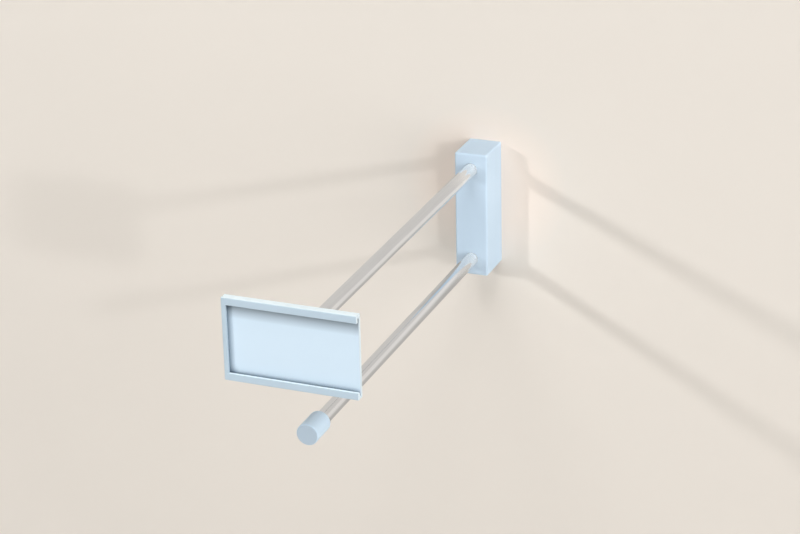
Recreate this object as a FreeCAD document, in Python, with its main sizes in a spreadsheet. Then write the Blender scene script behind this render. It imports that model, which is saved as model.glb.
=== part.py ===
"""Display hook for a perforated board: two steel rods in a moulded block, a label holder and an end cap.

Millimetres. +Z is up, +Y points into the board and the rods run out along -Y. The origin lies on the
block's back face, which rests on the board, midway between the two pegs that enter the board's holes.
"""

import FreeCAD, Part
import math
import os
import re
import Sketcher

SIZES = {
    # Moulded block, as high as its insets, the peg pitch and the upper rod's rise together
    "block_width": 12.0,
    "block_depth": 15.2,
    "block_edge_radius": 0.7,
    "core_wall": 1.8,
    "core_corner_radius": 0.8,
    # Board pegs, and the holes of the board that they enter
    "peg_pitch": 25.4,
    "peg_diameter": 4.0,
    "peg_fit": 0.05,
    "peg_front_wall": 5.2,
    "peg_bend_radius": 4.0,
    "peg_rise": 12.0,
    "peg_tip_radius": 0.8,
    "board_room": 6.4,
    "spigot_reach": 9.0,
    # Rods: the lower one runs through the block, and its spigot is the lower peg
    "rod_diameter": 4.7,
    "rod_fit": 0.05,
    "rod_end_chamfer": 0.4,
    "rod_back_wall": 2.0,
    "lower_rod_inset": 6.1,
    "upper_rod_rise": 8.5,
    "upper_rod_inset": 5.9,
    # Label holder, front face at label_reach from the board
    "label_reach": 171.5,
    "holder_width": 43.8,
    "holder_height": 27.2,
    "holder_drop": 0.6,
    "back_plate": 0.9,
    "label_slot": 0.9,
    "lip_thickness": 0.8,
    "lip_height": 2.4,
    "end_lip": 1.5,
    "channel_wall": 1.0,
    "holder_edge_radius": 0.35,
    "lip_edge_radius": 0.2,
    "boss_wall": 2.0,
    "boss_length": 9.5,
    "boss_seat": 8.5,
    "boss_root_radius": 1.2,
    # End cap, front face at cap_reach from the board
    "cap_reach": 161.5,
    "cap_length": 10.4,
    "cap_wall": 1.15,
    "cap_front": 1.6,
    "cap_front_radius": 0.35,
    "cap_rear_radius": 0.8,
}

# How far a cut runs past the material that it opens, and how near a point counts as on a plane
OVERCUT = 1.0
NEAR = 1e-4

# The most of a wall that a rounding takes: where the wall's other side is rounded too, and where not
SHARED_WALL = 0.45
OWN_WALL = 0.8

doc = FreeCAD.newDocument("DisplayHook")
sheet = doc.addObject("Spreadsheet::Sheet", "Sizes")
for row, (alias, value) in enumerate(SIZES.items(), start=1):
    sheet.set(f"A{row}", alias)
    sheet.set(f"B{row}", str(value))
    sheet.setAlias(f"B{row}", alias)
doc.recompute()


def size(text):
    """The value of an expression in the sheet's aliases, at the sheet's present sizes."""
    return float(sheet.evalExpression(text))


def bind(thing, name, text):
    """Binds a property to an expression in the sheet's aliases."""
    words = re.sub(r"[a-z_]+", lambda m: f"Sizes.{m[0]}" if m[0] in SIZES else m[0], text)
    thing.setExpression(name, words)


def limited(radius, share, *walls):
    """The expression of a rounding's radius, kept within a share of each wall that it is cut from."""
    limits = "; ".join(f"({wall}) * {share}" for wall in walls)
    return f"min({radius}; {limits})"


def make_body(label, out="0", up="0"):
    """An empty body whose origin is bound to a place in the hook's frame; out is away from the board."""
    body = doc.addObject("PartDesign::Body", label)
    body.Label = label
    bind(body, "Placement.Base.y", f"-({out})")
    bind(body, "Placement.Base.z", up)
    return body


def make_sketch(body, name, plane="XZ_Plane", offset="0"):
    """A sketch on one of the body's own planes. On XZ, offset moves it away from the board."""
    sketch = body.newObject("Sketcher::SketchObject", name)
    base = next(f for f in body.Origin.OriginFeatures if f.Role == plane)
    sketch.AttachmentSupport = [(base, "")]
    sketch.MapMode = "FlatFace"
    bind(sketch, "AttachmentOffset.Base.z", offset)
    return sketch


def constrain(sketch, kind, places, expression):
    """A named constraint of the sketch, held to an expression in the sheet's aliases."""
    index = sketch.addConstraint(Sketcher.Constraint(kind, *places, size(expression)))
    sketch.renameConstraint(index, f"size_{index}")
    bind(sketch, f"Constraints.size_{index}", expression)


def add_rectangle(sketch, left, right, bottom, top):
    """A rectangle with each side at an expression, measured from the sketch's origin."""
    corners = [FreeCAD.Vector(x, y, 0) for x, y in ((-1, -1), (1, -1), (1, 1), (-1, 1))]
    sides = [
        sketch.addGeometry(Part.LineSegment(corners[i], corners[(i + 1) % 4]), False)
        for i in range(4)
    ]
    for i in range(4):
        following = sides[(i + 1) % 4]
        sketch.addConstraint(Sketcher.Constraint("Coincident", sides[i], 2, following, 1))
        direction = "Horizontal" if i % 2 == 0 else "Vertical"
        sketch.addConstraint(Sketcher.Constraint(direction, sides[i]))
    constrain(sketch, "DistanceX", (-1, 1, sides[0], 1), left)
    constrain(sketch, "DistanceX", (-1, 1, sides[0], 2), right)
    constrain(sketch, "DistanceY", (-1, 1, sides[0], 1), bottom)
    constrain(sketch, "DistanceY", (-1, 1, sides[2], 1), top)


def add_circle(sketch, radius, up="0"):
    """A circle on the sketch's vertical axis, at a height above its origin."""
    start = FreeCAD.Vector(0, 1, 0)
    circle = sketch.addGeometry(Part.Circle(start, FreeCAD.Vector(0, 0, 1), 1.0), False)
    sketch.addConstraint(Sketcher.Constraint("PointOnObject", circle, 3, -2))
    constrain(sketch, "DistanceY", (-1, 1, circle, 3), up)
    constrain(sketch, "Radius", (circle,), radius)


def pad(body, sketch, length, reverse=False):
    """Adds the sketch's outline over a length, away from the board unless reversed."""
    feature = body.newObject("PartDesign::Pad", f"{sketch.Name}_pad")
    feature.Profile = sketch
    feature.Reversed = reverse
    bind(feature, "Length", length)
    doc.recompute()


def pocket(body, sketch, length, reverse=False):
    """Cuts the sketch's outline over a length, towards the board unless reversed."""
    before = body.Shape.Volume
    feature = body.newObject("PartDesign::Pocket", f"{sketch.Name}_pocket")
    feature.Profile = sketch
    feature.Reversed = reverse
    bind(feature, "Length", length)
    doc.recompute()
    if not body.Shape.Volume < before:
        raise RuntimeError(f"{feature.Name} cuts nothing")


def edge_names(body, test):
    """Names of the edges of the body's present shape that pass a test, in the body's own frame."""
    shape = body.Tip.Shape
    return [f"Edge{i}" for i, edge in enumerate(shape.Edges, start=1) if test(edge)]


def round_edges(body, name, radius, test, kind="PartDesign::Fillet"):
    """Rounds or chamfers the edges that pass a test."""
    base, names = body.Tip, edge_names(body, test)
    if not names:
        raise RuntimeError(f"{name} finds no edge")
    feature = body.newObject(kind, name)
    feature.Base = (base, names)
    bind(feature, "Radius" if kind == "PartDesign::Fillet" else "Size", radius)
    doc.recompute()


def on_plane(edge, axis, at):
    """Whether every point of the edge lies where its coordinate on an axis, X, Y or Z, has a value."""
    low, high = getattr(edge.BoundBox, f"{axis}Min"), getattr(edge.BoundBox, f"{axis}Max")
    return abs(low - at) < NEAR and abs(high - at) < NEAR


def along(edge, axis):
    """Whether the edge is straight and parallel to an axis, X, Y or Z."""
    ends = edge.Vertexes[-1].Point - edge.Vertexes[0].Point
    run = abs(getattr(ends, axis.lower()))
    return edge.Length > NEAR and abs(run - edge.Length) < NEAR


# Heights in the hook's frame, and those of the block's features above its own bottom face
BLOCK_BOTTOM = "-peg_pitch / 2 - lower_rod_inset"
UPPER_ROD_AXIS = "peg_pitch / 2 + upper_rod_rise"
LOWER_ROD_AXIS = "-peg_pitch / 2"
ROD_BORE = "rod_diameter / 2 + rod_fit"
PEG_BORE = "peg_diameter / 2 + peg_fit"
UPPER_PEG_IN_BLOCK = "lower_rod_inset + peg_pitch"
UPPER_ROD_IN_BLOCK = f"{UPPER_PEG_IN_BLOCK} + upper_rod_rise"
BLOCK_HEIGHT = f"{UPPER_ROD_IN_BLOCK} + upper_rod_inset"
UPPER_PEG_SEAT = "(block_depth - peg_front_wall)"
HOLDER_THICKNESS = "(back_plate + label_slot + lip_thickness)"


def make_mounting_block():
    """The block: rounded in front, with bores for the rods, and a peg socket and cores in its back."""
    body = make_body("mounting_block", up=BLOCK_BOTTOM)
    outline = make_sketch(body, "block_outline")
    add_rectangle(outline, "-block_width / 2", "block_width / 2", "0", BLOCK_HEIGHT)
    pad(body, outline, "block_depth")
    edge_radius = limited("block_edge_radius", SHARED_WALL, "block_width", "block_depth")
    round_edges(body, "block_edges", edge_radius, lambda e: not on_plane(e, "Y", 0))

    # Two cores leave an even wall round the bores, with a rib midway between the pegs
    side = "(block_width / 2 - core_wall)"
    bottom = f"lower_rod_inset + {ROD_BORE} + core_wall"
    middle = "lower_rod_inset + peg_pitch / 2"
    top = f"{UPPER_PEG_IN_BLOCK} - ({PEG_BORE}) - core_wall"
    cores = make_sketch(body, "cores")
    add_rectangle(cores, f"-{side}", side, bottom, f"{middle} - core_wall / 2")
    add_rectangle(cores, f"-{side}", side, f"{middle} + core_wall / 2", top)
    pocket(body, cores, "block_depth - core_wall", reverse=True)
    half_core = size("block_width / 2 - core_wall")
    round_edges(
        body,
        "core_corners",
        limited("core_corner_radius", SHARED_WALL, "block_width - 2 * core_wall"),
        lambda e: along(e, "Y") and abs(abs(e.Vertexes[0].X) - half_core) < NEAR,
    )

    upper = make_sketch(body, "upper_rod_socket", offset="block_depth")
    add_circle(upper, ROD_BORE, UPPER_ROD_IN_BLOCK)
    pocket(body, upper, "block_depth - rod_back_wall")
    lower = make_sketch(body, "lower_rod_bore", offset="block_depth")
    add_circle(lower, ROD_BORE, "lower_rod_inset")
    pocket(body, lower, f"block_depth + {OVERCUT}")
    peg = make_sketch(body, "upper_peg_socket")
    add_circle(peg, PEG_BORE, UPPER_PEG_IN_BLOCK)
    pocket(body, peg, UPPER_PEG_SEAT, reverse=True)
    return body


def make_rod(label, height, start, end):
    """A straight rod of bright steel, from one distance in front of the board to another."""
    body = make_body(label, out=start, up=height)
    section = make_sketch(body, f"{label}_section")
    add_circle(section, "rod_diameter / 2")
    pad(body, section, f"{end} - ({start})")
    return body


def chamfer_rod(body, test):
    """Breaks the rod's end edges that pass a test."""
    width = limited("rod_end_chamfer", SHARED_WALL, "rod_diameter")
    round_edges(body, f"{body.Label}_chamfer", width, test, "PartDesign::Chamfer")


def make_upper_rod():
    """The rod that carries the label holder, seated in blind sockets at both its ends."""
    end = f"label_reach - {HOLDER_THICKNESS} - boss_length + boss_seat"
    body = make_rod("upper_rod", UPPER_ROD_AXIS, "rod_back_wall", end)
    chamfer_rod(body, lambda e: e.Closed)
    return body


def make_lower_rod():
    """The rod that goods hang on; behind the block it is turned down to a spigot, the lower peg."""
    body = make_rod("lower_rod", LOWER_ROD_AXIS, "0", "cap_reach - cap_front")
    chamfer_rod(body, lambda e: e.Closed and not on_plane(e, "Y", 0))
    spigot = make_sketch(body, "spigot")
    add_circle(spigot, "peg_diameter / 2")
    pad(body, spigot, "spigot_reach", reverse=True)
    tip = limited("peg_tip_radius", SHARED_WALL, "peg_diameter")
    reach = size("spigot_reach")
    round_edges(body, "spigot_tip", tip, lambda e: e.Closed and on_plane(e, "Y", reach))
    return body


def make_upper_peg():
    """The peg that carries the hook: in through the upper hole, then bent up behind the board."""
    body = make_body("upper_peg", up="peg_pitch / 2")
    leg = "board_room + peg_diameter / 2"
    route = make_sketch(body, "upper_peg_route", "YZ_Plane")
    seat, reach, rise = size(UPPER_PEG_SEAT), size(leg), size("peg_rise")
    turn = size("peg_bend_radius")
    inside = FreeCAD.Vector(-seat, 0, 0)
    start, stop = FreeCAD.Vector(reach - turn, 0, 0), FreeCAD.Vector(reach, turn, 0)
    centre = FreeCAD.Vector(reach - turn, turn, 0)
    quarter = Part.ArcOfCircle(
        Part.Circle(centre, FreeCAD.Vector(0, 0, 1), turn), 1.5 * math.pi, 2 * math.pi
    )
    run = route.addGeometry(Part.LineSegment(inside, start), False)
    arc = route.addGeometry(quarter, False)
    up = route.addGeometry(Part.LineSegment(stop, FreeCAD.Vector(reach, rise, 0)), False)
    route.addConstraint(Sketcher.Constraint("Tangent", run, 2, arc, 1))
    route.addConstraint(Sketcher.Constraint("Tangent", arc, 2, up, 1))
    route.addConstraint(Sketcher.Constraint("PointOnObject", run, 1, -1))
    route.addConstraint(Sketcher.Constraint("Horizontal", run))
    route.addConstraint(Sketcher.Constraint("Vertical", up))
    constrain(route, "DistanceX", (run, 1, -1, 1), UPPER_PEG_SEAT)
    constrain(route, "DistanceX", (-1, 1, up, 1), leg)
    constrain(route, "Radius", (arc,), "peg_bend_radius")
    constrain(route, "DistanceY", (-1, 1, up, 2), "peg_rise")
    section = make_sketch(body, "upper_peg_section", offset=UPPER_PEG_SEAT)
    add_circle(section, "peg_diameter / 2")
    doc.recompute()
    wire = body.newObject("PartDesign::AdditivePipe", "upper_peg_wire")
    wire.Profile = section
    wire.Spine = route
    doc.recompute()
    tip = limited("peg_tip_radius", SHARED_WALL, "peg_diameter")
    round_edges(body, "upper_peg_tip", tip, lambda e: e.Closed and on_plane(e, "Z", rise))
    return body


def make_label_holder():
    """A shallow tray whose lips hold a card on three sides, open at the right, on a socket for a rod."""
    body = make_body("label_holder", out=f"label_reach - {HOLDER_THICKNESS}", up=UPPER_ROD_AXIS)
    half_width, half_height = "holder_width / 2", "holder_height / 2"
    floor, ceiling = f"-holder_drop - {half_height}", f"-holder_drop + {half_height}"
    outline = make_sketch(body, "holder_outline")
    add_rectangle(outline, f"-{half_width}", half_width, floor, ceiling)
    pad(body, outline, HOLDER_THICKNESS)
    edge_radius = limited("holder_edge_radius", SHARED_WALL, "lip_thickness", "channel_wall")
    round_edges(body, "holder_edges", edge_radius, lambda e: not on_plane(e, "Y", 0))

    # The card slot runs in behind the lips, and the window opens it to the front
    slot = make_sketch(body, "card_slot", offset="back_plate")
    slot_left = f"-{half_width} + channel_wall"
    beyond = f"{half_width} + {OVERCUT}"
    add_rectangle(
        slot, slot_left, beyond, f"{floor} + channel_wall", f"{ceiling} - channel_wall"
    )
    pocket(body, slot, "label_slot", reverse=True)
    window = make_sketch(body, "window", offset="back_plate + label_slot")
    window_left = f"-{half_width} + end_lip"
    add_rectangle(window, window_left, beyond, f"{floor} + lip_height", f"{ceiling} - lip_height")
    pocket(body, window, f"lip_thickness + {OVERCUT}", reverse=True)
    front = -size("back_plate + label_slot + lip_thickness")
    inside = size("holder_height / 2 - lip_height") + NEAR
    middle, left = -size("holder_drop"), size("end_lip - holder_width / 2") - NEAR
    round_edges(
        body,
        "lip_edges",
        limited("lip_edge_radius", SHARED_WALL, "lip_thickness"),
        lambda e: on_plane(e, "Y", front)
        and e.BoundBox.XMin > left
        and abs(e.BoundBox.Center.z - middle) < inside,
    )

    # The boss behind the back plate takes the end of the upper rod
    boss_radius = f"{ROD_BORE} + boss_wall"
    boss = make_sketch(body, "boss")
    add_circle(boss, boss_radius)
    pad(body, boss, "boss_length", reverse=True)
    boss_edge = size("rod_diameter / 2 + rod_fit + boss_wall")
    round_edges(
        body,
        "boss_root",
        limited("boss_root_radius", SHARED_WALL, "boss_length"),
        lambda e: e.Closed and on_plane(e, "Y", 0) and abs(e.BoundBox.XMax - boss_edge) < NEAR,
    )
    bore = make_sketch(body, "boss_bore", offset="-boss_length")
    add_circle(bore, ROD_BORE)
    pocket(body, bore, "boss_seat", reverse=True)
    return body


def make_end_cap():
    """The push-on cap at the end of the lower rod, with a blind bore."""
    body = make_body("end_cap", out="cap_reach - cap_length", up=LOWER_ROD_AXIS)
    outline = make_sketch(body, "cap_outline")
    add_circle(outline, f"{ROD_BORE} + cap_wall")
    pad(body, outline, "cap_length")
    rear = limited("cap_rear_radius", OWN_WALL, "cap_wall")
    round_edges(body, "cap_rear_edge", rear, lambda e: e.Closed and on_plane(e, "Y", 0))
    front = -size("cap_length")
    round_edges(
        body,
        "cap_front_edge",
        limited("cap_front_radius", SHARED_WALL, "cap_front"),
        lambda e: e.Closed and on_plane(e, "Y", front),
    )
    bore = make_sketch(body, "cap_bore")
    add_circle(bore, ROD_BORE)
    pocket(body, bore, "cap_length - cap_front", reverse=True)
    return body


parts = [
    make_mounting_block(),
    make_upper_rod(),
    make_lower_rod(),
    make_upper_peg(),
    make_label_holder(),
    make_end_cap(),
]
doc.recompute()

for thing in doc.Objects:
    if "Invalid" in thing.State or "Error" in thing.State:
        raise RuntimeError(f"{thing.Name} failed: {thing.State}")
for body in parts:
    if body.Shape.isNull() or not body.Shape.isValid() or len(body.Shape.Solids) != 1:
        raise RuntimeError(f"{body.Label} is not one valid solid")

os.makedirs("parts", exist_ok=True)
for body in parts:
    body.Shape.exportStep(f"parts/{body.Label}.step")
    box = body.Shape.optimalBoundingBox()
    print(
        f"{body.Label}: {body.Shape.Volume:.1f} mm3,"
        f" x {box.XMin:.2f} {box.XMax:.2f}, y {box.YMin:.2f} {box.YMax:.2f},"
        f" z {box.ZMin:.2f} {box.ZMax:.2f}"
    )
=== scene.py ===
"""Looks of the display hook: pale blue moulded plastic and polished steel, against a plain pale wall.

Metres, in the model's own frame: +Z up, +Y into the wall, the rods out along -Y.
"""

import math

import bpy
from mathutils import Euler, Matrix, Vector


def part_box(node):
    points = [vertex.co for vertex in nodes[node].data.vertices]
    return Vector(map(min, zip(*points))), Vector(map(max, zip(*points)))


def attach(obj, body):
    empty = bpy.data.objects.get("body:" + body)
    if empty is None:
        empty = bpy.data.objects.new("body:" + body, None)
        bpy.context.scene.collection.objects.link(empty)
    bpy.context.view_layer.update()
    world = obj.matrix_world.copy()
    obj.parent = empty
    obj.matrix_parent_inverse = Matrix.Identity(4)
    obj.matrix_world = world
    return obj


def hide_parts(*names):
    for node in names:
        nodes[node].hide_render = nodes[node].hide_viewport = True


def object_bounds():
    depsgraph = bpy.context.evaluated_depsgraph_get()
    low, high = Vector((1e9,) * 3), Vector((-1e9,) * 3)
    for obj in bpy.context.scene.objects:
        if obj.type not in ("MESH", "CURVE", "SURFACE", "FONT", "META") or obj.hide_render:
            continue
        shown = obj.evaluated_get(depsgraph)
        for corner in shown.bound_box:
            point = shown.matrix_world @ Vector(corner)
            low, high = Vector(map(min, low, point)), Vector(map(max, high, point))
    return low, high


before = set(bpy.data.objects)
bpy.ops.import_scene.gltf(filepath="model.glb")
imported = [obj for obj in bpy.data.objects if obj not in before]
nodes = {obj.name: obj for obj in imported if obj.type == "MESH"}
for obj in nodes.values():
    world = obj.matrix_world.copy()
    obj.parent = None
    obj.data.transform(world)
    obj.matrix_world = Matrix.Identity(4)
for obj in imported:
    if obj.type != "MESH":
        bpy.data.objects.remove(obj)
cad_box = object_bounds()

MM = 0.001

# Linear colours
PLASTIC = (0.560, 0.705, 0.845)
# Floor of the holder's tray: painted glow, as of light through its thin wall
FLOOR_PAINTED_GLOW = (0.665, 0.810, 0.932)
# Level edges of the holder: painted highlight
EDGE_PAINTED_HIGHLIGHT = (0.820, 0.940, 1.000)
# Open end of the holder: painted light
END_PAINTED_LIGHT = (0.665, 0.765, 0.830)
# The holder's plastic: the block's plastic painted a little darker, as painted shade
HOLDER_PLASTIC_SHADED = (0.507, 0.628, 0.724)
# Faces that look to the holder's open end: painted shade
LIP_INSIDE_PAINTED_SHADE = (0.420, 0.520, 0.600)
# The cap's flat front: painted shade
CAP_FRONT_PAINTED_SHADE = (0.472, 0.577, 0.675)
STEEL = (0.79, 0.80, 0.82)
# Steel near the block: painted reflection of the block
STEEL_PAINTED_REFLECTION = (0.95, 0.93, 0.90)
ZINC = (0.72, 0.73, 0.74)
WALL = (0.802, 0.753, 0.690)
WALL_BY_BLOCK = (0.880, 0.771, 0.682)
WALL_IN_STEEL = (0.800, 0.770, 0.730)
FLOOR = (0.80, 0.77, 0.74)
BACKGROUND = (0.80, 0.74, 0.675)
WHITE = (1.0, 1.0, 1.0)

# Moulded plastic: its faint flow marks, in lumps a metre, with how far its tone goes either way
PLASTIC_ROUGHNESS = 0.42
FLOW_SCALE = 60.0
FLOW_STRETCH = (1.0, 1.0, 0.45)
FLOW_FROM_TO = (0.35, 0.65)
FLOW_TONE = 0.015

# Moulded plastic: its fine grain, with the sheen and the relief that it gives
GRAIN_SCALE = 3200.0
GRAIN_DETAIL = 2.0
GRAIN_SHEEN = (0.38, 0.47)
GRAIN_DEPTH = 0.012 * MM
GRAIN_STRENGTH = 0.35

# Steel: its fine lines, how much they darken and lighten it, smooth and roughen it, and their relief
LINE_SCALE = 2600.0
LINE_STRETCH = (1.0, 0.02, 1.0)
LINE_FROM_TO = (0.3, 0.7)
LINE_DARKER, LINE_LIGHTER = 0.04, 0.03
LINE_SMOOTHER, LINE_ROUGHER = 0.2, 0.3
LINE_DEPTH = 0.002 * MM
LINE_STRENGTH = 0.2
ROD_ROUGHNESS, ROD_UNEVEN = 0.10, 1.0
PEG_ROUGHNESS, PEG_UNEVEN = 0.28, 0.15

# The holder's tray from its front face: its floor, with the reach of the floor's painted glow, and its
# back
HOLDER_FLOOR_DEPTH = 1.7 * MM
FLOOR_REACH = 0.15 * MM
PLATE_DEPTH = 2.7 * MM

# Where an edge of the holder counts as level for its painted highlight, by the square of its normal's
# height, where a face looks to its open end for its painted shade, and how deep that end is for its
# painted light
EDGE_FROM_TO = (0.45, 0.85)
FACING_END = 0.5
END_REACH = 0.2 * MM

# The shade in the holder's slot: how far a wall throws it, and how open a place is at its ends
SHADE_SAMPLES = 8
SHADE_REACH = 3.0 * MM
SHADE_FROM_TO = (0.25, 0.85)
SHADE = (0.28, 0.32, 0.36)

# Under the upper lip the shade is deeper: its least tone, and how far down it fades out
LIP_HEIGHT = 2.4 * MM
UNDER_LIP = 0.34
UNDER_REACH = 4.7 * MM

# Where a face of the cap counts as its front, which is painted darker as painted shade
FACING_FRONT = -0.9

# The rods' round ends: their chamfer, and the spigot that is the lower peg
ROD_CHAMFER = 0.4 * MM
SPIGOT_RADIUS = 2.0 * MM
SPIGOT_TIP = 0.8 * MM
TIP_STEPS = 6
ROUND_STEPS = 128
SHARP_ANGLE = math.radians(30)

# How far out of the block and into it the rods carry a painted reflection of the block, paler and less
# metallic, and how metallic they are at its front
PAINTED_REFLECTION_REACH = 24.0 * MM
PAINTED_REFLECTION_INSIDE = 13.0 * MM
PAINTED_REFLECTION_METAL = 0.69

# The stage's finish, and how bright it is in the steel: at the sides, at the right and below, and where
# each starts and is full, by the width or the height of the direction
STAGE_ROUGHNESS = 0.9
STAGE_GLOSS = 0.1
SEEN_SIDE, SEEN_RIGHT = 0.86, 1.08
SEEN_LEVEL, SEEN_BELOW = 1.0, 0.78
BRIGHT_FROM_TO = (0.80, 0.99)
DARK_FROM_TO = (-0.45, -0.90)
FLOOR_SEEN = 0.65
HOOK_MIDDLE = (0.0, 0.0, 0.010)

# From where to where, in metres from the hook, the wall is warmer, which makes up for the pale blue
# light off the block, and from where to where it fades into the background
BY_BLOCK = (0.016, 0.031)
FADE = (0.24, 0.50)

# The wall is as wide as the widest view needs, and is open where the block stands against it
WALL_HALF = 1.2
FLOOR_DROP = 0.7
FLOOR_HALF = 30.0
WALL_GAP = 0.02 * MM
RIM = 0.1 * MM

# Lamps: place, side of the square and power in watts
LAMPS = {
    "spot_right": ((0.85, -1.02, 0.245), 0.045, 2.00),
    "spot_left": ((-0.42, -0.62, 0.22), 0.035, 1.32),
    "soft_right": ((2.40, -1.32, 0.39), 2.40, 55.0),
    "soft_top": ((0.00, -1.32, 2.19), 1.60, 33.0),
    "soft_behind": ((-0.60, 2.60, 1.00), 1.60, 64.0),
}
AMBIENT = 0.04
AMBIENT_COLOUR = (1.0, 0.985, 0.965)

# Camera, fitted to the photograph's 800 x 534 frame
CAMERA_PLACE = (0.2712, -0.7500, 0.3166)
CAMERA_TURN = (67.02, 1.21, 21.62)
CAMERA_LENS = 107.0
SENSOR_WIDTH = 36.0
CLIP_START = 0.01


def scaled(colour, factor=1.0):
    """A colour made lighter or darker by one factor, as red, green, blue and alpha."""
    return tuple(min(1.0, part * factor) for part in colour) + (1.0,)


class Nodes:
    """A node tree in the making, of a material or of the world."""

    def __init__(self, tree, output):
        self.tree = tree
        self.surface = tree.nodes[output].inputs["Surface"]

    def add(self, kind, **settings):
        """A node of a kind, with its own settings."""
        node = self.tree.nodes.new(kind)
        for name, value in settings.items():
            setattr(node, name, value)
        return node

    def link(self, start, end):
        self.tree.links.new(start, end)

    def math(self, operation, first, second, reach=None):
        """A sum of an output and a number or another output, or how they compare within a reach."""
        node = self.add("ShaderNodeMath", operation=operation)
        self.link(first, node.inputs[0])
        if isinstance(second, float):
            node.inputs[1].default_value = second
        else:
            self.link(second, node.inputs[1])
        if reach is not None:
            node.inputs[2].default_value = reach
        return node.outputs[0]

    def parts(self, vector):
        """A vector output taken apart into its X, Y and Z."""
        node = self.add("ShaderNodeSeparateXYZ")
        self.link(vector, node.inputs[0])
        return node.outputs

    def spread(self, value, low, high, start=0.0, stop=1.0, **settings):
        """The value, from start to stop, spread over a range."""
        node = self.add("ShaderNodeMapRange", **settings)
        node.inputs["From Min"].default_value = start
        node.inputs["From Max"].default_value = stop
        node.inputs["To Min"].default_value = low
        node.inputs["To Max"].default_value = high
        self.link(value, node.inputs["Value"])
        return node.outputs["Result"]

    def cover(self, factor, shader):
        """Another shader over the ones so far, by a factor."""
        blend = self.add("ShaderNodeMixShader")
        self.link(factor, blend.inputs[0])
        self.link(self.surface.links[0].from_socket, blend.inputs[1])
        self.link(shader.outputs[0], blend.inputs[2])
        self.link(blend.outputs[0], self.surface)


class Surface(Nodes):
    """A node material in the making: one Principled shader and the textures that feed it."""

    def __init__(self, name, roughness, metallic=0.0):
        self.material = bpy.data.materials.new(name)
        self.material.use_nodes = True
        super().__init__(self.material.node_tree, "Material Output")
        self.shader = self.tree.nodes["Principled BSDF"]
        self.shader.inputs["Metallic"].default_value = metallic
        self.shader.inputs["Roughness"].default_value = roughness
        coordinates = self.add("ShaderNodeTexCoord")
        self.place = coordinates.outputs["Object"]
        self.normal = coordinates.outputs["Normal"]

    def feed(self, name, output):
        """Links an output to one of the shader's inputs."""
        self.link(output, self.shader.inputs[name])

    def tone(self):
        """The output that feeds the shader's colour."""
        return self.shader.inputs["Base Color"].links[0].from_socket

    def noise(self, scale, detail=3.0, stretch=(1.0, 1.0, 1.0)):
        """Noise in the object's space with so many lumps a metre, stretched along the axes."""
        mapping = self.add("ShaderNodeMapping")
        mapping.inputs["Scale"].default_value = stretch
        self.link(self.place, mapping.inputs["Vector"])
        texture = self.add("ShaderNodeTexNoise")
        texture.inputs["Scale"].default_value = scale
        texture.inputs["Detail"].default_value = detail
        self.link(mapping.outputs[0], texture.inputs["Vector"])
        return texture.outputs["Fac"]

    def ramp(self, value, from_to, colour_low, colour_high):
        """Two colours blended as a value goes over a range."""
        node = self.add("ShaderNodeValToRGB")
        ends = zip(node.color_ramp.elements, from_to, (colour_low, colour_high))
        for element, position, colour in ends:
            element.position = position
            element.color = colour
        self.link(value, node.inputs["Fac"])
        return node.outputs["Color"]

    def plain(self, colour):
        """The same colour all over."""
        node = self.add("ShaderNodeRGB")
        node.outputs[0].default_value = scaled(colour)
        return node.outputs[0]

    def mix(self, factor, first, second, blend="MIX"):
        """The first colour where the factor is 0, the second where it is 1, which is also no factor."""
        node = self.add("ShaderNodeMix", data_type="RGBA", blend_type=blend)
        node.inputs[0].default_value = 1.0
        if factor is not None:
            self.link(factor, node.inputs[0])
        self.link(first, node.inputs[6])
        self.link(second, node.inputs[7])
        return node.outputs[2]

    def dimmed(self, colour, factor):
        """A colour output made darker by another output."""
        node = self.add("ShaderNodeVectorMath", operation="SCALE")
        self.link(colour, node.inputs[0])
        self.link(factor, node.inputs["Scale"])
        return node.outputs[0]

    def bump(self, height, depth, strength):
        """Relief of a depth in metres, at the shader's normal."""
        node = self.add("ShaderNodeBump")
        node.inputs["Distance"].default_value = depth
        node.inputs["Strength"].default_value = strength
        self.link(height, node.inputs["Height"])
        self.feed("Normal", node.outputs["Normal"])


def moulded_plastic(name, colour):
    """Satin moulded plastic: a spark-eroded grain, faint flow marks and a slightly uneven sheen."""
    surface = Surface(name, PLASTIC_ROUGHNESS)
    flow = surface.noise(FLOW_SCALE, stretch=FLOW_STRETCH)
    darker, lighter = scaled(colour, 1 - FLOW_TONE), scaled(colour, 1 + FLOW_TONE)
    surface.feed("Base Color", surface.ramp(flow, FLOW_FROM_TO, darker, lighter))
    grain = surface.noise(GRAIN_SCALE, detail=GRAIN_DETAIL)
    surface.feed("Roughness", surface.spread(grain, *GRAIN_SHEEN))
    surface.bump(grain, GRAIN_DEPTH, GRAIN_STRENGTH)
    return surface


def steel(name, colour, roughness, uneven):
    """Drawn and plated steel: fine lines along Y in its tone, its sheen and its relief, as strong as
    uneven says.
    """
    surface = Surface(name, roughness, metallic=1.0)
    lines = surface.noise(LINE_SCALE, stretch=LINE_STRETCH)
    darker = scaled(colour, 1 - LINE_DARKER * uneven)
    lighter = scaled(colour, 1 + LINE_LIGHTER * uneven)
    surface.feed("Base Color", surface.ramp(lines, LINE_FROM_TO, darker, lighter))
    smoothest = (1 - LINE_SMOOTHER * uneven) * roughness
    roughest = (1 + LINE_ROUGHER * uneven) * roughness
    surface.feed("Roughness", surface.spread(lines, smoothest, roughest))
    surface.bump(lines, LINE_DEPTH, LINE_STRENGTH * uneven)
    return surface


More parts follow.
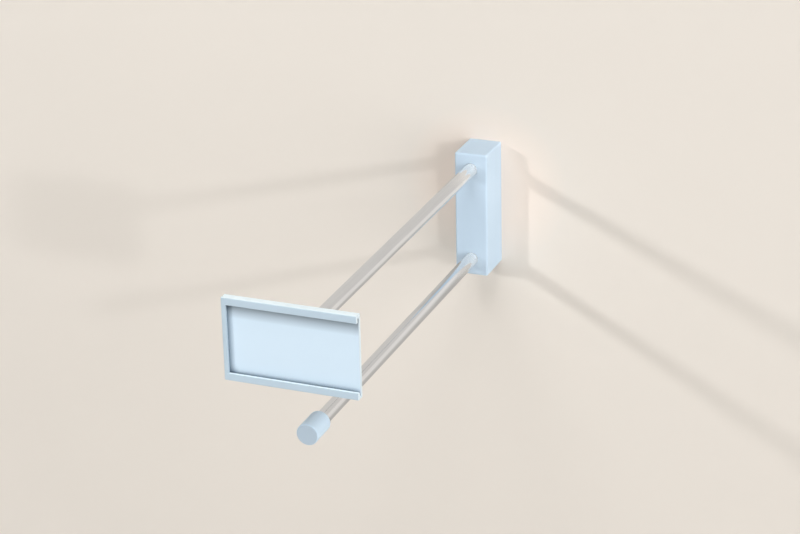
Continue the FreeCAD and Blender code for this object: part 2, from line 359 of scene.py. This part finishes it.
def holder_plastic():
    """The holder's plastic, painted a little darker all over as painted shade. Its floor is painted
    paler, a painted glow as of light through its thin wall; the edges that face up or down carry a
    painted highlight and its open end is painted paler as painted light, all paler than its broad rim.
    Faces that look to the open end are painted darker as painted shade, and the slot behind the lips
    holds a painted soft shade, deeper under the upper lip.
    """
    # The rim is the block's plastic painted a little darker: painted shade
    surface = moulded_plastic("holder_plastic", HOLDER_PLASTIC_SHADED)
    place = surface.parts(surface.place)
    facing = surface.parts(surface.normal)
    low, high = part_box("label_holder")
    on_floor = surface.math("COMPARE", place["Y"], low.y + HOLDER_FLOOR_DEPTH, FLOOR_REACH)
    # The floor is painted paler: a painted glow, as of light through its thin wall
    tone = surface.mix(on_floor, surface.tone(), surface.plain(FLOOR_PAINTED_GLOW))

    hollow = surface.add("ShaderNodeAmbientOcclusion", samples=SHADE_SAMPLES, only_local=True)
    hollow.inputs["Distance"].default_value = SHADE_REACH
    shade = surface.ramp(hollow.outputs["AO"], SHADE_FROM_TO, scaled(SHADE), scaled(WHITE))
    tone = surface.mix(None, tone, shade, "MULTIPLY")
    lip_edge = high.z - LIP_HEIGHT
    under_lip = surface.spread(place["Z"], 1.0, UNDER_LIP, lip_edge - UNDER_REACH, lip_edge)
    tone = surface.mix(on_floor, tone, surface.dimmed(tone, under_lip))

    # Faces that look to the open end are painted darker: painted shade
    to_open_end = surface.math("GREATER_THAN", facing["X"], FACING_END)
    tone = surface.mix(to_open_end, tone, surface.plain(LIP_INSIDE_PAINTED_SHADE))
    # Level edges of the plate get a painted highlight
    upright = surface.math("MULTIPLY", facing["Z"], facing["Z"])
    level = surface.spread(upright, 0.0, 1.0, *EDGE_FROM_TO)
    # The open end of the plate gets painted light
    at_end = surface.math("GREATER_THAN", place["X"], high.x - END_REACH)
    on_plate = surface.math("LESS_THAN", place["Y"], low.y + PLATE_DEPTH)
    for where, colour in ((level, EDGE_PAINTED_HIGHLIGHT), (at_end, END_PAINTED_LIGHT)):
        tone = surface.mix(surface.math("MULTIPLY", where, on_plate), tone, surface.plain(colour))
    surface.feed("Base Color", tone)
    return surface


def cap_plastic():
    """The cap's flat front is painted a little darker, as painted shade."""
    surface = moulded_plastic("cap_plastic", PLASTIC)
    on_front = surface.math("LESS_THAN", surface.parts(surface.normal)["Y"], FACING_FRONT)
    # Its flat front is painted darker: painted shade
    tone = surface.mix(on_front, surface.tone(), surface.plain(CAP_FRONT_PAINTED_SHADE))
    surface.feed("Base Color", tone)
    return surface


def rod_finish():
    """The rods' polished steel, with a painted reflection of the block where it goes into it: paler and
    less metallic near the block's front.
    """
    surface = steel("rod_steel", STEEL, ROD_ROUGHNESS, ROD_UNEVEN)
    along = surface.parts(surface.place)["Y"]
    depth = surface.math("SUBTRACT", along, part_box("mounting_block")[0].y)
    outward = surface.math("MULTIPLY", depth, -1.0)
    inward = surface.math("MULTIPLY", depth, PAINTED_REFLECTION_REACH / PAINTED_REFLECTION_INSIDE)
    away = surface.math("MAXIMUM", outward, inward)
    # Less metallic and paler near the block's front: painted reflection of the block
    surface.feed("Metallic", surface.spread(away, PAINTED_REFLECTION_METAL, 1.0, stop=PAINTED_REFLECTION_REACH))
    near = surface.spread(away, 1.0, 0.0, stop=PAINTED_REFLECTION_REACH)
    surface.feed("Base Color", surface.mix(near, surface.tone(), surface.plain(STEEL_PAINTED_REFLECTION)))
    return surface


def dress(node, surface):
    """Puts a finish in every material slot of a node."""
    for slot in nodes[node].material_slots:
        slot.material = surface.material


dress("mounting_block", moulded_plastic("block_plastic", PLASTIC))
dress("label_holder", holder_plastic())
dress("end_cap", cap_plastic())
dress("upper_peg", steel("peg_steel", ZINC, PEG_ROUGHNESS, PEG_UNEVEN))


def turned(name, profile, height):
    """A round piece about an axis along Y at a height, from pairs of a place on the axis and a radius.

    The first and the last pair have no radius and are the middles of its ends.
    """
    rings = profile[1:-1]
    corners = [(0.0, profile[0][0], height), (0.0, profile[-1][0], height)]
    for along, radius in rings:
        for step in range(ROUND_STEPS):
            angle = math.tau * step / ROUND_STEPS
            corners.append((radius * math.cos(angle), along, height + radius * math.sin(angle)))
    faces = []
    for step in range(ROUND_STEPS):
        here, there = 2 + step, 2 + (step + 1) % ROUND_STEPS
        faces.append((0, here, there))
        for _ in rings[1:]:
            faces.append((here, here + ROUND_STEPS, there + ROUND_STEPS, there))
            here, there = here + ROUND_STEPS, there + ROUND_STEPS
        faces.append((1, there, here))
    mesh = bpy.data.meshes.new(name)
    mesh.from_pydata(corners, [], faces)
    mesh.shade_smooth()
    mesh.set_sharp_from_angle(angle=SHARP_ANGLE)
    piece = bpy.data.objects.new(name, mesh)
    bpy.context.scene.collection.objects.link(piece)
    return piece


def make_rod(node, back_end):
    """A smooth rod in the place of a node, with a chamfered front and the given profile at its back."""
    low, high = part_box(node)
    radius = (high.x - low.x) / 2
    front = [(low.y, 0.0), (low.y, radius - ROD_CHAMFER), (low.y + ROD_CHAMFER, radius)]
    rod = turned(f"{node}_drawn", front + back_end(radius, high.y), (low.z + high.z) / 2)
    rod.data.materials.append(rod_steel.material)
    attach(rod, "root")
    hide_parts(node)


def plain_end(radius, end):
    """A chamfered end."""
    return [(end - ROD_CHAMFER, radius), (end, radius - ROD_CHAMFER), (end, 0.0)]


def spigot_end(radius, end):
    """The shoulder at the block's back, the spigot and its rounded tip."""
    tip = []
    for step in range(TIP_STEPS + 1):
        angle = math.pi / 2 * step / TIP_STEPS
        along = end - SPIGOT_TIP * (1 - math.sin(angle))
        tip.append((along, SPIGOT_RADIUS - SPIGOT_TIP * (1 - math.cos(angle))))
    return [(0.0, radius), (0.0, SPIGOT_RADIUS)] + tip + [(end, 0.0)]


rod_steel = rod_finish()
make_rod("upper_rod", plain_end)
make_rod("lower_rod", spigot_end)


def stage_material(name, colour):
    """A matt pale finish for the floor and the wall."""
    surface = Surface(name, STAGE_ROUGHNESS)
    surface.shader.inputs["Base Color"].default_value = scaled(colour)
    surface.shader.inputs["Specular IOR Level"].default_value = STAGE_GLOSS
    return surface


def seen_in_steel(tree, across, up):
    """How bright the studio is in the steel, by the direction about the hook's length.

    It is brightest at the right, where the lamps are, and darkest below.
    """
    spokes = tree.add("ShaderNodeCombineXYZ")
    tree.link(across, spokes.inputs["X"])
    tree.link(up, spokes.inputs["Z"])
    direction = tree.add("ShaderNodeVectorMath", operation="NORMALIZE")
    tree.link(spokes.outputs[0], direction.inputs[0])
    parts = tree.parts(direction.outputs[0])
    soft = {"interpolation_type": "SMOOTHSTEP"}
    sideways = tree.spread(parts["X"], SEEN_SIDE, SEEN_RIGHT, *BRIGHT_FROM_TO, **soft)
    downward = tree.spread(parts["Z"], SEEN_LEVEL, SEEN_BELOW, *DARK_FROM_TO, **soft)
    return tree.math("MULTIPLY", sideways, downward)


def backdrop(tree, kind, in_steel, share=None):
    """Shows the background's own colour to the camera, and as bright as in_steel says in the steel, by
    a shader of a kind. Where share is an output, it says how much of it shows.
    """
    rays = tree.add("ShaderNodeLightPath")
    strength = tree.add("ShaderNodeMix")
    tree.link(rays.outputs["Is Glossy Ray"], strength.inputs[0])
    strength.inputs[2].default_value = 1.0
    if isinstance(in_steel, float):
        strength.inputs[3].default_value = in_steel
    else:
        tree.link(in_steel, strength.inputs[3])
    glow = tree.add(kind)
    glow.inputs["Color"].default_value = scaled(BACKGROUND)
    tree.link(strength.outputs[0], glow.inputs["Strength"])
    seen = tree.math("MAXIMUM", rays.outputs["Is Camera Ray"], rays.outputs["Is Glossy Ray"])
    if share is not None:
        seen = tree.math("MULTIPLY", seen, share)
    tree.cover(seen, glow)


def wall_paint():
    """The wall's matt paint, which the steel shows brighter at the right and darker below. Far from the
    hook the wall fades into the background, and from behind it isn't there.
    """
    surface = stage_material("wall_paint", WALL)
    offset = surface.add("ShaderNodeVectorMath", operation="SUBTRACT")
    surface.link(surface.place, offset.inputs[0])
    offset.inputs[1].default_value = HOOK_MIDDLE
    parts = surface.parts(offset.outputs[0])
    seen = seen_in_steel(surface, parts["X"], parts["Z"])
    length = surface.add("ShaderNodeVectorMath", operation="LENGTH")
    surface.link(offset.outputs[0], length.inputs[0])
    distance = length.outputs["Value"]

    away = surface.spread(distance, 0.0, 1.0, *BY_BLOCK)
    tone = surface.mix(away, surface.plain(WALL_BY_BLOCK), surface.plain(WALL))
    in_steel = surface.dimmed(surface.plain(WALL_IN_STEEL), seen)
    rays = surface.add("ShaderNodeLightPath")
    surface.feed("Base Color", surface.mix(rays.outputs["Is Glossy Ray"], tone, in_steel))

    far = surface.spread(distance, 0.0, 1.0, *FADE)
    backdrop(surface, "ShaderNodeEmission", seen, far)
    behind = surface.add("ShaderNodeNewGeometry").outputs["Backfacing"]
    surface.cover(behind, surface.add("ShaderNodeBsdfTransparent"))
    return surface


def floor_paint():
    """The floor's matt paint, which is the background's own colour to the camera."""
    surface = stage_material("floor_paint", FLOOR)
    backdrop(surface, "ShaderNodeEmission", FLOOR_SEEN)
    return surface


def stage_mesh(name, corners, faces, surface):
    """A piece of the stage from corners and faces."""
    mesh = bpy.data.meshes.new(name)
    mesh.from_pydata(corners, [], faces)
    thing = bpy.data.objects.new(name, mesh)
    bpy.context.scene.collection.objects.link(thing)
    mesh.materials.append(surface.material)


def rectangle(left, right, low, high):
    """Its four corners, in order round it."""
    return [(left, low), (right, low), (right, high), (left, high)]


block_low, block_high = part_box("mounting_block")
outer = rectangle(-WALL_HALF, WALL_HALF, -FLOOR_DROP, WALL_HALF)
inner = rectangle(block_low.x + RIM, block_high.x - RIM, block_low.z + RIM, block_high.z - RIM)
wall_corners = [(x, WALL_GAP, z) for x, z in outer + inner]
wall_faces = [(i, (i + 1) % 4, 4 + (i + 1) % 4, 4 + i) for i in range(4)]
stage_mesh("wall", wall_corners, wall_faces, wall_paint())

floor = rectangle(-FLOOR_HALF, FLOOR_HALF, -FLOOR_HALF, FLOOR_HALF)
stage_mesh("floor", [(x, y, -FLOOR_DROP) for x, y in floor], [(0, 1, 2, 3)], floor_paint())


def add_lamp(name, place, size, power):
    """A square lamp that faces the middle of the hook. The wide soft ones don't show in the steel."""
    lamp = bpy.data.lights.new(name, "AREA")
    lamp.shape = "SQUARE"
    lamp.size = size
    lamp.energy = power
    thing = bpy.data.objects.new(name, lamp)
    thing.location = place
    thing.rotation_euler = (middle - Vector(place)).to_track_quat("-Z", "Y").to_euler()
    thing.visible_camera = False
    thing.visible_glossy = name.startswith("spot")
    bpy.context.scene.collection.objects.link(thing)


middle = (Vector(cad_box[0]) + Vector(cad_box[1])) / 2
for name, (place, size, power) in LAMPS.items():
    add_lamp(name, place, size, power)

world = bpy.data.worlds.new("studio")
world.use_nodes = True
bpy.context.scene.world = world
sky = Nodes(world.node_tree, "World Output")
ambient = sky.tree.nodes["Background"]
ambient.inputs["Color"].default_value = scaled(AMBIENT_COLOUR)
ambient.inputs["Strength"].default_value = AMBIENT
direction = sky.parts(sky.add("ShaderNodeTexCoord").outputs["Generated"])
backdrop(sky, "ShaderNodeBackground", seen_in_steel(sky, direction["X"], direction["Z"]))

camera_data = bpy.data.cameras.new("photograph_view")
camera_data.lens = CAMERA_LENS
camera_data.sensor_width = SENSOR_WIDTH
camera_data.clip_start = CLIP_START
camera = bpy.data.objects.new("photograph_view", camera_data)
camera.location = CAMERA_PLACE
camera.rotation_euler = Euler([math.radians(angle) for angle in CAMERA_TURN])
bpy.context.scene.collection.objects.link(camera)
bpy.context.scene.camera = camera
bpy.context.scene.view_settings.view_transform = "Standard"
